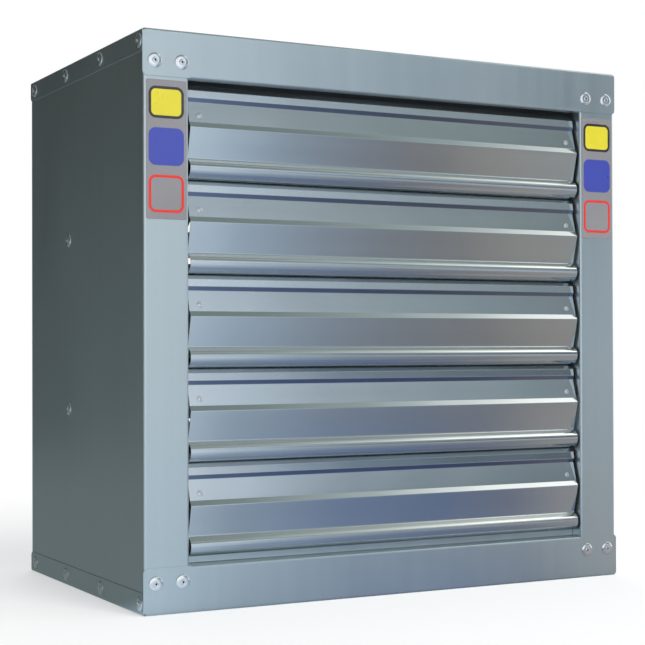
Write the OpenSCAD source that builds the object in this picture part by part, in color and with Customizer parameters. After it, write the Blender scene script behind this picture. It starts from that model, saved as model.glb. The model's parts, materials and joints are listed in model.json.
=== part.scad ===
// Belt drive exhaust fan in a square box of galvanised sheet.
// The shutter faces -Y and is the outlet. The inlet side faces +Y. The box stands on z = 0.

/* [Casing] */
// Overall width of the box
case_w = 620; // [604:2:680]
// Overall height of the box
case_h = 620; // [604:2:680]
// Depth of the box from its front plane to its rear plane
case_d = 400; // [390:1:450]
// Thickness of the casing sheet
sheet_t = 1; // [0.8:0.1:1.4]
// Height of the header flange and of the bottom rail
rail_h = 50; // [42:1:56]
// Width of the front stiles
stile_w = 52.5; // [44:0.5:56]
// Depth of the return flange behind each stile
return_d = 30; // [27:1:40]
// Depth of the lip below the header
lip_d = 12; // [8:1:13]
// Depth of the lip behind the bottom rail, where its stop stands up
rail_lip_d = 19.5; // [19.1:0.1:22]
// Height of the stop above the bottom rail
stop_h = 14; // [13:0.5:15]
// Height of the side flanges of the top and bottom panels
side_flange_h = 24; // [21:1:30]
// Width of the flanges around the rear opening
rear_flange_w = 30; // [24:1:34]
// Bend radius of the front vertical edges, to the middle of the sheet
edge_r = 2.5; // [2:0.1:4]
// Bend radius of the other sheet bends, to the middle of the sheet
bend_r = 2; // [1.2:0.1:2.4]
// Rounding of the free corners of the flanges
corner_r = 5; // [2:0.5:8]

/* [Rivets] */
// Diameter of the rivet shanks
rivet_d = 4.8; // [4:0.1:6]
// Diameter of the large rivet heads
rivet_head_d = 16; // [12:0.5:16]
// Height of the rivet heads
rivet_head_h = 2.2; // [1.6:0.1:3]
// Distance from the side of the box to the outer front rivets
rivet_edge_x = 14; // [11:0.5:14.5]
// Distance between the two front rivets of one corner
rivet_gap_x = 30.5; // [24:0.5:31]
// Distance of the front rivets from the top and bottom planes
rivet_edge_z = 33.5; // [28:0.5:36]
// Rivets along each side flange
flange_rivets_n = 4; // [3:1:5]
// Distance of the first flange rivets behind the front plane
flange_rivet_front = 11; // [11:0.5:20]
// Distance of the last flange rivets from the rear plane
flange_rivet_rear = 19; // [13:0.5:22]
// Height of the flange rivets above the flange's root
flange_rivet_z = 12.5; // [10:0.5:12.5]
// Distance of the wall rivets behind the front plane
wall_rivet_y = 250; // [246:1:254]
// Distance between the two wall rivets of one side
wall_rivet_gap = 200; // [160:5:240]

/* [Labels] */
// Bare strip on each side of a blank label, on the flat of its stile
label_margin = 0.2; // [0.2:0.1:6]
// Height of the blank labels
label_h = 148; // [100:1:160]
// Thickness of the label vinyl
label_t = 0.3; // [0.2:0.05:0.5]
// Distance of the left label below the header
left_label_drop = 3.5; // [2:0.5:30]
// Distance of the right label below the header
right_label_drop = 6.5; // [2:0.5:30]

/* [Shutter] */
// Number of shutter blades
blade_count = 5; // [5:1:5]
// Thickness of the blade sheet
blade_t = 0.8; // [0.6:0.1:1]
// Gap between a blade's end and the stile's return flange
blade_end_gap = 3; // [2.5:0.1:5]
// Free height left above and below the row of blades
shutter_play = 12; // [10:0.5:14]
// Height of the header's edge above the first blade's ridge
first_ridge_drop = 51; // [49.5:0.1:52]
// Height of a blade's top edge above its ridge
blade_top = 57; // [55:0.5:60]
// Height that a blade's roll covers of the next blade's top
blade_overlap = 9.6; // [7:0.2:10.4]
// Depth of a blade's ridge behind the front plane
ridge_depth = 3.3; // [2.5:0.1:3.9]
// Depth of a blade's valley behind its ridge
valley_depth = 8.6; // [6:0.2:9]
// Height of the roll along a blade's lower edge
roll_h = 21; // [18:0.2:22]
// Height of a blade's pivot above its ridge
pivot_h = 35; // [33:0.5:36]
// Depth of the pivots behind the front plane
pivot_depth = 18; // [17.5:0.1:19]
// Diameter of the pivot pins
pin_d = 6; // [5:0.1:6.4]
// Radial running clearance of pins and rods
run_gap = 0.06; // [0.03:0.01:0.1]
// Wall of the nylon pivot bushes
bush_wall = 2; // [1.5:0.1:2.4]
// Length of the crank arms that the tie rod joins
crank_l = 36; // [34:0.5:38]
// Width of the tie rod
tie_rod_w = 12; // [10:0.5:13]
// Thickness of the tie rod and width of its pin seats
tie_rod_t = 3; // [2:0.1:4]

/* [Air path] */
// Inner radius of the venturi sleeve
venturi_r = 256; // [252:1:258]
// Radius of the bell mouth's curve
bell_r = 20; // [12:1:22]
// Depth of the venturi panel's flanges
venturi_flange_d = 25; // [22:1:30]
// Length of the sleeve in front of the venturi panel
sleeve_l = 174; // [168:1:178]
// Radius of the impeller
impeller_r = 250; // [235:1:251]
// Number of impeller blades
impeller_n = 6; // [6:1:6]
// Pitch angle of the impeller blades
pitch_angle = 28; // [22:1:30]
// Width of an impeller blade at its tip
blade_tip_w = 124; // [100:1:128]
// Width of an impeller blade at its root
blade_root_w = 48; // [44:1:52]
// Thickness of the impeller blades
impeller_t = 1.5; // [1.2:0.1:2]
// Distance of the impeller's middle plane behind the front plane
impeller_y = 114.5; // [113:0.5:117]

/* [Drive] */
// Radius of the fan pulley
fan_pulley_r = 80; // [70:1:90]
// Radius of the motor pulley
motor_pulley_r = 37.5; // [32:0.5:42]
// Width of both pulley rims
pulley_w = 20; // [18:0.5:22]
// Distance of the belt's middle behind the front plane
belt_y = 173.5; // [173:0.5:175]
// Top width of the belt
belt_w = 12.9; // [12:0.1:13.2]
// Height of the belt
belt_h = 8; // [7:0.1:8.5]
// Gap between the belt's flanks and the grooves
belt_gap = 0.3; // [0.2:0.05:0.5]
// Diameter of the fan shaft
shaft_d = 25; // [22:1:26]
// Outer diameter of the ball bearings
bearing_d = 52; // [52:1:56]
// Width of the ball bearings
bearing_w = 15; // [14:0.5:16]
// Diameter of the bearing balls
ball_d = 7.9; // [7:0.1:8]
// Balls in each bearing
ball_n = 9; // [8:1:10]
// Distance between the middles of the two bearings
bearing_span = 58; // [52:1:62]
// Wall of the bearing housing
housing_wall = 8; // [6:0.5:10]
// Side of the bearing housing's square flange
housing_flange = 84; // [80:1:88]
// Thickness of the bearing plate
plate_t = 5; // [4:0.5:6]
// Width of the bearing plate
plate_w = 92; // [90:1:110]
// Distance between the middles of the two struts
strut_gap = 200; // [190:2:214]
// Height of the struts
strut_h = 30; // [26:1:34]
// Depth of the struts
strut_d = 40; // [30:1:46]
// Thickness of the struts
strut_t = 2.5; // [2:0.1:3]
// Diameter of the frame bolts
bolt_d = 8; // [6:0.5:8]

/* [Motor] */
// Height of the motor's axis above its feet
motor_foot_h = 63; // [62:0.5:66]
// Radius of the motor housing without its fins
motor_r = 53; // [50:0.5:54]
// Height of the cooling fins
fin_h = 5; // [3:0.5:6]
// Number of cooling fins
fin_n = 28; // [20:2:36]
// Length of the finned motor housing
motor_l = 110; // [106:1:114]
// Thickness of the end bells
bell_t = 12; // [10:0.5:14]
// Length of the fan cowl
cowl_l = 44; // [40:1:48]
// Diameter of the motor shaft
motor_shaft_d = 14; // [11:1:16]
// Distance of the motor's front bell behind the front plane
motor_y = 189.5; // [189:0.5:193]
// Distance between the motor's foot bolts along its axis
foot_gap_y = 80; // [70:1:84]
// Distance between the motor's foot bolts across its axis
foot_gap_x = 100; // [96:1:104]
// Thickness of the motor's base plate
base_t = 4; // [3:0.5:5]

/* [Guard and fixing] */
// Thickness of the guard's wires
wire_d = 3; // [2.4:0.2:3.4]
// Spacing of the guard's upright wires
wire_gap_x = 25; // [20:1:40]
// Spacing of the guard's level wires
wire_gap_z = 50; // [40:1:60]
// Diameter of the four fixing holes in the rear flanges
fixing_d = 9; // [7:0.5:9.5]
// Distance of the fixing holes from the sides of the box
fixing_edge_x = 15; // [14:0.5:16]
// Distance between the fixing holes up the box
fixing_gap_z = 450; // [400:5:500]

/* [Hidden] */

$fn = 48;
bend_steps = 6;
eps = 0.01;

front_y = -case_d / 2;
rear_y = case_d / 2;
fan_z = case_h / 2;
panel_x = case_w / 2 - sheet_t;
wall_in = panel_x - sheet_t;
opening_x = case_w / 2 - stile_w;
inner_bend = bend_r - sheet_t / 2;
seam_gap = 0.8;
part_gap = 0.3;
fit_gap = 0.02;
hole_gap = 0.05;
steel = [0.66, 0.70, 0.72];
bright = [0.80, 0.81, 0.82];
dark = [0.20, 0.21, 0.23];
cast = [0.36, 0.40, 0.44];

// Bent sheet: a centre line of [point, left normal] pairs, with an arc at each inner corner

function unit(v) = v / norm(v);
function left_of(v) = [-v.y, v.x];

function arc_part(p0, p1, p2, r) =
    let (a = unit(p0 - p1),
         b = unit(p2 - p1),
         half = acos(max(-1, min(1, a * b))) / 2,
         start = p1 + a * r / tan(half),
         end = p1 + b * r / tan(half),
         centre = p1 + unit(a + b) * r / sin(half),
         a0 = atan2(start.y - centre.y, start.x - centre.x),
         a1 = atan2(end.y - centre.y, end.x - centre.x),
         turn = (a1 - a0 + 540) % 360 - 180)
    [for (i = [0 : bend_steps])
        let (out = [cos(a0 + turn * i / bend_steps), sin(a0 + turn * i / bend_steps)])
        [centre + out * r, -out * sign(turn)]];

function centre_line(pts, radii) =
    let (last = len(pts) - 1)
    concat([[pts[0], left_of(unit(pts[1] - pts[0]))]],
           [for (i = [1 : last - 1]) each arc_part(pts[i - 1], pts[i], pts[i + 1], radii[i - 1])],
           [[pts[last], left_of(unit(pts[last] - pts[last - 1]))]]);

function strip(line, t) =
    concat([for (p = line) p[0] + p[1] * t / 2],
           [for (i = [len(line) - 1 : -1 : 0]) line[i][0] - line[i][1] * t / 2]);

module bent_sheet(pts, radii, t) {
    polygon(strip(centre_line(pts, radii), t));
}

// Placing helpers: a drawing in the y-z plane runs along x, a turned part's axis lies along y

module along_x(length) {
    rotate([90, 0, 90])
        linear_extrude(length, center = true) children();
}

module on_y_axis() {
    rotate([-90, 0, 0]) children();
}

module drawn_on_front(y, depth) {
    translate([0, y + depth, 0])
        rotate([90, 0, 0])
            linear_extrude(depth) children();
}

// A bar from p to q with round ends of end_d
module bar_2d(p, q, end_d, w) {
    d = q - p;
    translate(p) circle(d = end_d);
    translate(q) circle(d = end_d);
    translate(p)
        rotate(atan2(d.y, d.x))
            translate([0, -w / 2]) square([norm(d), w]);
}

module rounded_square(w, h, r) {
    square([w - 2 * r, h], center = true);
    square([w, h - 2 * r], center = true);
    for (x = [-1, 1], y = [-1, 1])
        translate([x * (w / 2 - r), y * (h / 2 - r)]) circle(r);
}

// Rivets, bolts and nuts: seated at z = 0, with the head above and the shank below

module rivet(d, head_d, head_h, grip) {
    mandrel = 0.3 * d;
    rim = 0.25 * head_h;
    recess = 0.4 * head_h;
    blind = 0.65 * d;
    stop = acos(2 * mandrel / head_d);
    dome = [for (i = [0 : 8])
        [head_d / 2 * cos(stop * i / 8), rim + (head_h - rim) * sin(stop * i / 8) / sin(stop)]];
    rotate_extrude()
        polygon(concat([[0, -grip - d], [blind, -grip - d], [blind, -grip], [d / 2, -grip],
                        [d / 2, 0], [head_d / 2, 0]],
                       dome,
                       [[mandrel, head_h - recess], [0, head_h - recess]]));
}

module hex_bolt(d, grip) {
    head_h = 0.65 * d;
    cylinder(d = 1.86 * d, h = head_h, $fn = 6);
    translate([0, 0, -grip - 1.1 * d])
        cylinder(d = d, h = grip + 1.1 * d + eps);
}

module hex_nut(d, grip) {
    nut_h = 0.8 * d;
    translate([0, 0, -grip - nut_h])
        difference() {
            cylinder(d = 1.86 * d, h = nut_h, $fn = 6);
            translate([0, 0, -1]) cylinder(d = d + 2 * hole_gap, h = nut_h + 2);
        }
}

// A low round head, as high as the rivet heads
module screw_and_nut(d, grip) {
    cylinder(d = 2 * d, h = rivet_head_h);
    translate([0, 0, -grip - 1.1 * d])
        cylinder(d = d, h = grip + 1.1 * d + eps);
    hex_nut(d, grip);
}

module bolt_and_nut(d, grip) {
    hex_bolt(d, grip);
    hex_nut(d, grip);
}

// Rivet and hole places

front_rivet_x = [for (s = [-1, 1], k = [0, 1]) s * (case_w / 2 - rivet_edge_x - k * rivet_gap_x)];
front_rivet_z = [rivet_edge_z, case_h - rivet_edge_z];
flange_rivet_span = case_d - flange_rivet_front - flange_rivet_rear;
flange_rivet_ys = [for (i = [0 : flange_rivets_n - 1])
    front_y + flange_rivet_front + flange_rivet_span * i / (flange_rivets_n - 1)];
flange_rivet_zs = [flange_rivet_z, case_h - flange_rivet_z];
wall_rivet_zs = [fan_z - wall_rivet_gap / 2, fan_z + wall_rivet_gap / 2];
wall_rivet_pos = front_y + wall_rivet_y;
rear_rivet_x = [for (s = [-1, 1]) s * (case_w / 2 - fixing_edge_x)];
rear_rivet_z = [rear_flange_w / 2, case_h - rear_flange_w / 2];
rivet_hole_d = rivet_d + 2 * hole_gap;

module holes_along_y(xs, zs, d, y, depth) {
    for (x = xs, z = zs)
        translate([x, y - 1, z])
            on_y_axis() cylinder(d = d, h = depth + 2);
}

module corner_rivet_holes() {
    holes_along_y(front_rivet_x, front_rivet_z, rivet_hole_d, front_y, 2 * sheet_t);
    holes_along_y(rear_rivet_x, rear_rivet_z, rivet_hole_d, rear_y - 2 * sheet_t, 2 * sheet_t);
}

module flange_rivet_holes() {
    for (y = flange_rivet_ys, z = flange_rivet_zs)
        translate([0, y, z])
            rotate([0, 90, 0])
                cylinder(d = rivet_hole_d, h = case_w + 2, center = true);
}

// Shutter geometry: one blade's section as [depth behind the front plane, height above its ridge]

blade_pitch = (case_h - 2 * rail_h - shutter_play) / blade_count;
function ridge_z(i) = case_h - rail_h - first_ridge_drop - (i - 1) * blade_pitch;
function pivot_z(i) = ridge_z(i) + pivot_h;
pivot_y = front_y + pivot_depth;
blade_l = 2 * (opening_x - blade_end_gap);

groove_h = 28;
fold_h = 5.5;
upper_flat_bottom = [ridge_depth + 3.7, fold_h];
upper_flat_top = [ridge_depth + 9.9, groove_h];
upper_flat_dir = unit(upper_flat_top - upper_flat_bottom);
roll_bottom = blade_top - blade_pitch - blade_overlap;
valley_h = roll_bottom + roll_h;
blade_line = [
    [ridge_depth + 18.4, blade_top],
    [ridge_depth + 15.9, blade_top - 10.6],
    [ridge_depth + 9.3, 40.6],
    [ridge_depth + 7.8, 32.8],
    upper_flat_top,
    upper_flat_bottom,
    [ridge_depth, 0],
    [ridge_depth + valley_depth, valley_h],
    [ridge_depth - 0.3, valley_h - 0.31 * roll_h],
    [ridge_depth + 0.3, valley_h - 0.71 * roll_h],
    [ridge_depth + 6.5, roll_bottom],
    [ridge_depth + 14.8, roll_bottom],
    [ridge_depth + 14.8, roll_bottom + 5]];
blade_bends = [1.2, 1, 1.2, 1, 1.5, 1, 2, 7.5, 9, 8, 1.6];

// The little rivet that holds a bracket sits on the upper flat
bracket_rivet_h = 13;
bracket_rivet_in = 12.5;
bracket_rivet_d = 3.2;
bracket_t = 1.5;
bracket_foot_l = 28;
bracket_foot_w = 13;
bracket_arm_depth = 4.4;
bracket_rivet_pos = upper_flat_bottom
    + upper_flat_dir * (bracket_rivet_h - fold_h) / upper_flat_dir.y;
upper_flat_tilt = atan2(upper_flat_dir.x, upper_flat_dir.y);
bracket_x = blade_l / 2 - bracket_rivet_in;
plate_x = blade_l / 2 - 1;

// Pivots, cranks and tie rod
pin_r = pin_d / 2;
bush_bore = pin_r + run_gap;
bush_r = bush_bore + bush_wall;
bush_head_r = bush_r + 2.4;
bush_head_t = 1.4;
bush_tail = 4;
pin_end = opening_x + sheet_t + bush_tail + 1;
boss_r = pin_r + 2;
crank_angle = 45;
crank = crank_l * [cos(crank_angle), sin(crank_angle)];
crank_pin_r = 2.5;
crank_w = 9;
arm_w = 7;
crank_collar = 2.2;
rod_end = plate_x - bracket_t - crank_collar;
rod_x = rod_end - tie_rod_t / 2;
crank_y = pivot_y + crank.x;

// Drive geometry, all distances along y
venturi_y = front_y + wall_rivet_y - venturi_flange_d / 2;
strut_y = venturi_y + sheet_t;
plate_y = strut_y - plate_t;
impeller_pos = front_y + impeller_y;
belt_pos = front_y + belt_y;
strut_zs = [fan_z - strut_gap / 2, fan_z + strut_gap / 2];
base_z = strut_zs[1] + strut_h / 2;
motor_z = base_z + base_t + motor_foot_h;
pulley_centres = motor_z - fan_z;
pulley_boss_l = pulley_w + 6;
motor_front = front_y + motor_y;
housing_front = motor_front + bell_t;
housing_rear = housing_front + motor_l;
cowl_front = housing_rear + bell_t;
bearing_ys = [plate_y - 31.5, plate_y - 31.5 + bearing_span];
bearing_in_r = shaft_d / 2;
race_t = 3.8;
bearing_mid_r = (bearing_d / 2 + bearing_in_r) / 2;
housing_r = bearing_d / 2 + housing_wall;
housing_y0 = bearing_ys[0] - bearing_w / 2 - 3;
housing_y1 = bearing_ys[1] + bearing_w / 2 + 5;
circlip_t = 1.2;
housing_bolt_gap = housing_flange - 22;
housing_flange_t = 8;
strut_end_bolt_x = [for (s = [-1, 1], k = [0, 1]) s * (wall_in - 11 - k * 18)];
plate_bolt_x = [-30, 30];

// Casing panels

module side_panel() {
    difference() {
        translate([0, 0, sheet_t + inner_bend])
            linear_extrude(case_h - 2 * sheet_t - 2 * inner_bend)
                bent_sheet([[-opening_x - sheet_t / 2, front_y + sheet_t + return_d],
                            [-opening_x - sheet_t / 2, front_y + 1.5 * sheet_t],
                            [-panel_x + sheet_t / 2, front_y + 1.5 * sheet_t],
                            [-panel_x + sheet_t / 2, rear_y - 1.5 * sheet_t],
                            [-panel_x + rear_flange_w, rear_y - 1.5 * sheet_t]],
                           [bend_r, edge_r, bend_r], sheet_t);
        corner_rivet_holes();
        flange_rivet_holes();
        for (z = wall_rivet_zs)
            translate([-case_w / 2, wall_rivet_pos, z])
                rotate([0, 90, 0]) cylinder(d = rivet_hole_d, h = 4 * sheet_t);
        for (i = [1 : blade_count])
            translate([-opening_x - 2 * sheet_t, pivot_y, pivot_z(i)])
                rotate([0, 90, 0]) cylinder(r = bush_r + hole_gap, h = 4 * sheet_t);
        holes_along_y([-case_w / 2 + fixing_edge_x], [fan_z - fixing_gap_z / 2, fan_z + fixing_gap_z / 2],
                      fixing_d, rear_y - 2 * sheet_t, 2 * sheet_t);
        clip_holes();
    }
}

module left_side_panel() {
    color(steel) side_panel();
}

module right_side_panel() {
    color(steel) mirror([1, 0, 0]) side_panel();
}

// One end of a front flange, over a stile, with its free outer corner rounded
module flange_end() {
    inner = opening_x - part_gap - 1;
    drawn_on_front(front_y, sheet_t)
        difference() {
            translate([inner, bend_r + sheet_t / 2])
                square([case_w / 2 - inner, rail_h - bend_r - sheet_t / 2]);
            translate([case_w / 2 - corner_r, rail_h - corner_r])
                difference() {
                    square(corner_r + 1);
                    circle(corner_r);
                }
        }
}

module rounded_flange_mask() {
    z0 = side_flange_h;
    y0 = front_y + sheet_t + seam_gap;
    y1 = rear_y - sheet_t - seam_gap;
    along_x(case_w + 2)
        difference() {
            translate([y0, -1]) square([y1 - y0, z0 + 1]);
            for (y = [y0, y1])
                translate([y, z0])
                    difference() {
                        square(2 * corner_r, center = true);
                        for (s = [-1, 1])
                            translate([s * corner_r, -corner_r]) circle(corner_r);
                    }
        }
}

// A cap panel drawn as the bottom one; lip is the list of points that end its front flange
module cap_panel(lip) {
    half = sheet_t / 2;
    shell = [[front_y + half, rail_h - bend_r - half],
             [front_y + half, half],
             [rear_y - half, half],
             [rear_y - half, rear_flange_w]];
    side_x = case_w / 2 - half;
    difference() {
        union() {
            along_x(2 * (case_w / 2 - bend_r - half))
                bent_sheet(shell, [bend_r, bend_r], sheet_t);
            along_x(2 * (opening_x - part_gap))
                bent_sheet(concat(lip, [[front_y + half, half], [0, half]]),
                           [for (i = [1 : len(lip)]) bend_r], sheet_t);
            for (m = [0, 1])
                mirror([m, 0, 0]) flange_end();
            intersection() {
                rotate([90, 0, 0])
                    linear_extrude(case_d, center = true)
                        bent_sheet([[-side_x, side_flange_h], [-side_x, half],
                                    [side_x, half], [side_x, side_flange_h]],
                                   [bend_r, bend_r], sheet_t);
                rounded_flange_mask();
            }
        }
        corner_rivet_holes();
        flange_rivet_holes();
        clip_holes();
    }
}

module top_panel() {
    half = sheet_t / 2;
    color(steel)
        translate([0, 0, case_h])
            mirror([0, 0, 1])
                cap_panel([[front_y + lip_d, rail_h - half], [front_y + half, rail_h - half]]);
}

module bottom_panel() {
    half = sheet_t / 2;
    color(steel)
        cap_panel([[front_y + rail_lip_d, rail_h + stop_h],
                   [front_y + rail_lip_d, rail_h - half],
                   [front_y + half, rail_h - half]]);
}

module front_rivets() {
    color(bright)
        for (x = front_rivet_x, z = front_rivet_z)
            translate([x, front_y, z])
                rotate([90, 0, 0]) rivet(rivet_d, rivet_head_d, rivet_head_h, 2 * sheet_t);
}

module rear_rivets() {
    color(bright)
        for (x = rear_rivet_x, z = rear_rivet_z)
            translate([x, rear_y, z])
                rotate([-90, 0, 0]) rivet(rivet_d, rivet_head_d, rivet_head_h, 2 * sheet_t);
}

module flange_rivets() {
    color(bright)
        for (s = [-1, 1], y = flange_rivet_ys, z = flange_rivet_zs)
            translate([s * case_w / 2, y, z])
                rotate([0, s * 90, 0]) rivet(rivet_d, rivet_head_d, rivet_head_h, 2 * sheet_t);
}

// These hold the venturi panel's flanges in the side walls
module wall_rivets() {
    color(bright)
        for (s = [-1, 1], z = wall_rivet_zs)
            translate([s * panel_x, wall_rivet_pos, z])
                rotate([0, s * 90, 0]) rivet(rivet_d, rivet_head_d, rivet_head_h, 2 * sheet_t);
}

stile_flat = [opening_x + bend_r + sheet_t / 2, panel_x - edge_r - sheet_t / 2];
label_x = (stile_flat[0] + stile_flat[1]) / 2;
label_w = stile_flat[1] - stile_flat[0] - 2 * label_margin;

module label(x, drop) {
    translate([x, 0, case_h - rail_h - drop - label_h / 2])
        drawn_on_front(front_y + sheet_t - label_t, label_t) rounded_square(label_w, label_h, 2);
}

module stile_labels() {
    color([0.64, 0.63, 0.67]) {
        label(-label_x, left_label_drop);
        label(label_x, right_label_drop);
    }
}

// Shutter

module shutter_blade(i) {
    color(bright)
        difference() {
            translate([0, front_y, ridge_z(i)])
                along_x(blade_l) bent_sheet(blade_line, blade_bends, blade_t);
            for (s = [-1, 1])
                bracket_rivet_place(i, s)
                    translate([0, 0, -3]) cylinder(d = bracket_rivet_d + 2 * hole_gap, h = 6);
        }
}

// The upper flat's front skin at a bracket rivet, with +z out of the sheet
module bracket_rivet_place(i, s) {
    translate([s * bracket_x, front_y + bracket_rivet_pos.x, ridge_z(i) + bracket_rivet_pos.y])
        rotate([90 - upper_flat_tilt, 0, 0])
            translate([0, 0, blade_t / 2]) children();
}

// An end bracket on the +x end, with or without the crank that joins the tie rod
module pivot_bracket(i, with_crank) {
    pivot = [pivot_depth, pivot_h];
    foot = bracket_rivet_pos + bracket_arm_depth * [upper_flat_dir.y, -upper_flat_dir.x];
    foot_z = -blade_t - bracket_t;
    difference() {
        union() {
            translate([plate_x - bracket_t / 2, front_y, ridge_z(i)])
                along_x(bracket_t) {
                    translate(pivot) circle(boss_r);
                    if (with_crank)
                        bar_2d(pivot, pivot + crank, crank_w, arm_w);
                }
            intersection() {
                translate([plate_x - bracket_t / 2, front_y, ridge_z(i)])
                    along_x(bracket_t) bar_2d(pivot, foot, crank_w, arm_w);
                bracket_rivet_place(i, 1)
                    translate([-100, -200, -blade_t - 200]) cube([200, 400, 200]);
            }
            bracket_rivet_place(i, 1)
                translate([plate_x - bracket_x - bracket_foot_l, -bracket_foot_w / 2, foot_z])
                    cube([bracket_foot_l - bracket_t / 2, bracket_foot_w, bracket_t]);
            translate([plate_x - bracket_t, pivot_y, pivot_z(i)])
                rotate([0, 90, 0]) cylinder(r = pin_r, h = pin_end - plate_x + bracket_t);
            if (with_crank)
                translate([plate_x - bracket_t / 2, pivot_y + crank.x, pivot_z(i) + crank.y])
                    rotate([0, -90, 0]) crank_pin();
        }
        bracket_rivet_place(i, 1)
            translate([0, 0, -6]) cylinder(d = bracket_rivet_d + 2 * hole_gap, h = 8);
    }
}

// Starts inside the bracket's plate: a collar, the seat of the tie rod and a head
module crank_pin() {
    head_t = 1.2;
    collar_end = bracket_t / 2 + crank_collar - part_gap / 2;
    seat_end = bracket_t / 2 + crank_collar + tie_rod_t + part_gap / 2;
    rotate_extrude()
        polygon([[0, 0], [crank_pin_r + 1.2, 0], [crank_pin_r + 1.2, collar_end],
                 [crank_pin_r, collar_end], [crank_pin_r, seat_end],
                 [crank_pin_r + 1.2, seat_end], [crank_pin_r + 1.2, seat_end + head_t],
                 [0, seat_end + head_t]]);
}

module pivot_brackets(i) {
    color(steel) {
        pivot_bracket(i, true);
        mirror([1, 0, 0]) pivot_bracket(i, false);
        for (s = [-1, 1])
            bracket_rivet_place(i, s) rivet(bracket_rivet_d, 6.4, 1.2, blade_t + bracket_t + fit_gap);
    }
}

module pivot_bushes() {
    color(dark)
        for (s = [-1, 1], i = [1 : blade_count])
            translate([s * opening_x, pivot_y, pivot_z(i)])
                rotate([0, s * 90, 0])
                    difference() {
                        union() {
                            translate([0, 0, -bush_head_t]) cylinder(r = bush_head_r, h = bush_head_t);
                            translate([0, 0, -eps]) cylinder(r = bush_r, h = sheet_t + bush_tail);
                        }
                        translate([0, 0, -bush_head_t - 1])
                            cylinder(r = bush_bore, h = bush_head_t + sheet_t + bush_tail + 2);
                    }
}

module tie_rod() {
    ends = [crank_y, pivot_z(blade_count) + crank.y];
    color(steel)
        translate([rod_x, 0, 0])
            along_x(tie_rod_t)
                difference() {
                    bar_2d(ends, [crank_y, pivot_z(1) + crank.y], tie_rod_w, tie_rod_w);
                    for (i = [1 : blade_count])
                        translate([crank_y, pivot_z(i) + crank.y]) circle(crank_pin_r + run_gap);
                }
}

// Air path

ring_r = venturi_r + bell_r + 2 * sheet_t;

module venturi_panel() {
    mid_y = venturi_y + sheet_t / 2;
    half_w = wall_in - sheet_t / 2;
    low = sheet_t * 1.5;
    high = case_h - sheet_t * 1.5;
    end_y = venturi_y + venturi_flange_d;
    color(steel)
        difference() {
            union() {
                translate([0, 0, side_flange_h])
                    linear_extrude(case_h - 2 * side_flange_h)
                        bent_sheet([[-half_w, end_y], [-half_w, mid_y], [half_w, mid_y], [half_w, end_y]],
                                   [bend_r, bend_r], sheet_t);
                along_x(2 * (half_w - bend_r))
                    bent_sheet([[end_y, low], [mid_y, low], [mid_y, high], [end_y, high]],
                               [bend_r, bend_r], sheet_t);
            }
            translate([0, mid_y, fan_z])
                on_y_axis() cylinder(r = ring_r, h = 4 * sheet_t, center = true, $fn = 180);
            for (s = [-1, 1], z = wall_rivet_zs)
                translate([s * wall_in, wall_rivet_pos, z])
                    rotate([0, 90, 0]) cylinder(d = rivet_hole_d, h = 4 * sheet_t, center = true);
            holes_along_y(strut_end_bolt_x, strut_zs, bolt_d + 2 * hole_gap, venturi_y, sheet_t);
        }
}

bell_neck = 4;
sleeve_end = venturi_y + sheet_t / 2 - bell_r - bell_neck;

module venturi_turned() {
    color(steel)
        translate([0, 0, fan_z])
            on_y_axis() rotate_extrude($fn = 180) children();
}

// The bell mouth, pressed and welded into the panel, and the rolled sleeve welded to its neck
module venturi_bell() {
    mid_r = venturi_r + sheet_t / 2;
    mid_y = venturi_y + sheet_t / 2;
    venturi_turned()
        bent_sheet([[ring_r, mid_y], [mid_r, mid_y], [mid_r, sleeve_end]], [bell_r], sheet_t);
}

module venturi_sleeve() {
    front = venturi_y - sleeve_l;
    venturi_turned()
        translate([venturi_r, front]) square([sheet_t, sleeve_end - front]);
}

// The struts end before the inner bends of the venturi panel's flanges
strut_half_l = wall_in - sheet_t / 2 - bend_r - part_gap;

module strut(z, extra_holes_x) {
    mid_y = strut_y + strut_t / 2;
    half_h = (strut_h - strut_t) / 2;
    color(steel)
        difference() {
            along_x(2 * strut_half_l)
                bent_sheet([[strut_y + strut_d, z + half_h], [mid_y, z + half_h],
                            [mid_y, z - half_h], [strut_y + strut_d, z - half_h]],
                           [strut_t * 1.5, strut_t * 1.5], strut_t);
            holes_along_y(strut_end_bolt_x, [z], bolt_d + 2 * hole_gap, strut_y, strut_t);
            holes_along_y(extra_holes_x, [z], bolt_d + 2 * hole_gap, strut_y, strut_t);
        }
}

base_bolt_x = [-foot_gap_x / 2 - 28, foot_gap_x / 2 + 28];
base_bolt_y = strut_y + strut_d * 0.6;

module upper_strut() {
    difference() {
        strut(strut_zs[1], plate_bolt_x);
        for (x = base_bolt_x)
            translate([x, base_bolt_y, base_z - strut_t - 1])
                cylinder(d = bolt_d + 2 * hole_gap, h = strut_t + 2);
    }
}

module lower_strut() {
    strut(strut_zs[0], plate_bolt_x);
}

module bearing_plate() {
    plate_h = strut_gap + strut_h - 6;
    color(cast)
        difference() {
            translate([0, 0, fan_z])
                drawn_on_front(plate_y, plate_t)
                    difference() {
                        rounded_square(plate_w, plate_h, corner_r);
                        circle(housing_r + part_gap);
                        for (x = [-1, 1], z = [-1, 1])
                            translate([x, z] * housing_bolt_gap / 2) circle(d = bolt_d + 2 * hole_gap);
                    }
            holes_along_y(plate_bolt_x, strut_zs, bolt_d + 2 * hole_gap, plate_y, plate_t);
        }
}

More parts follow.
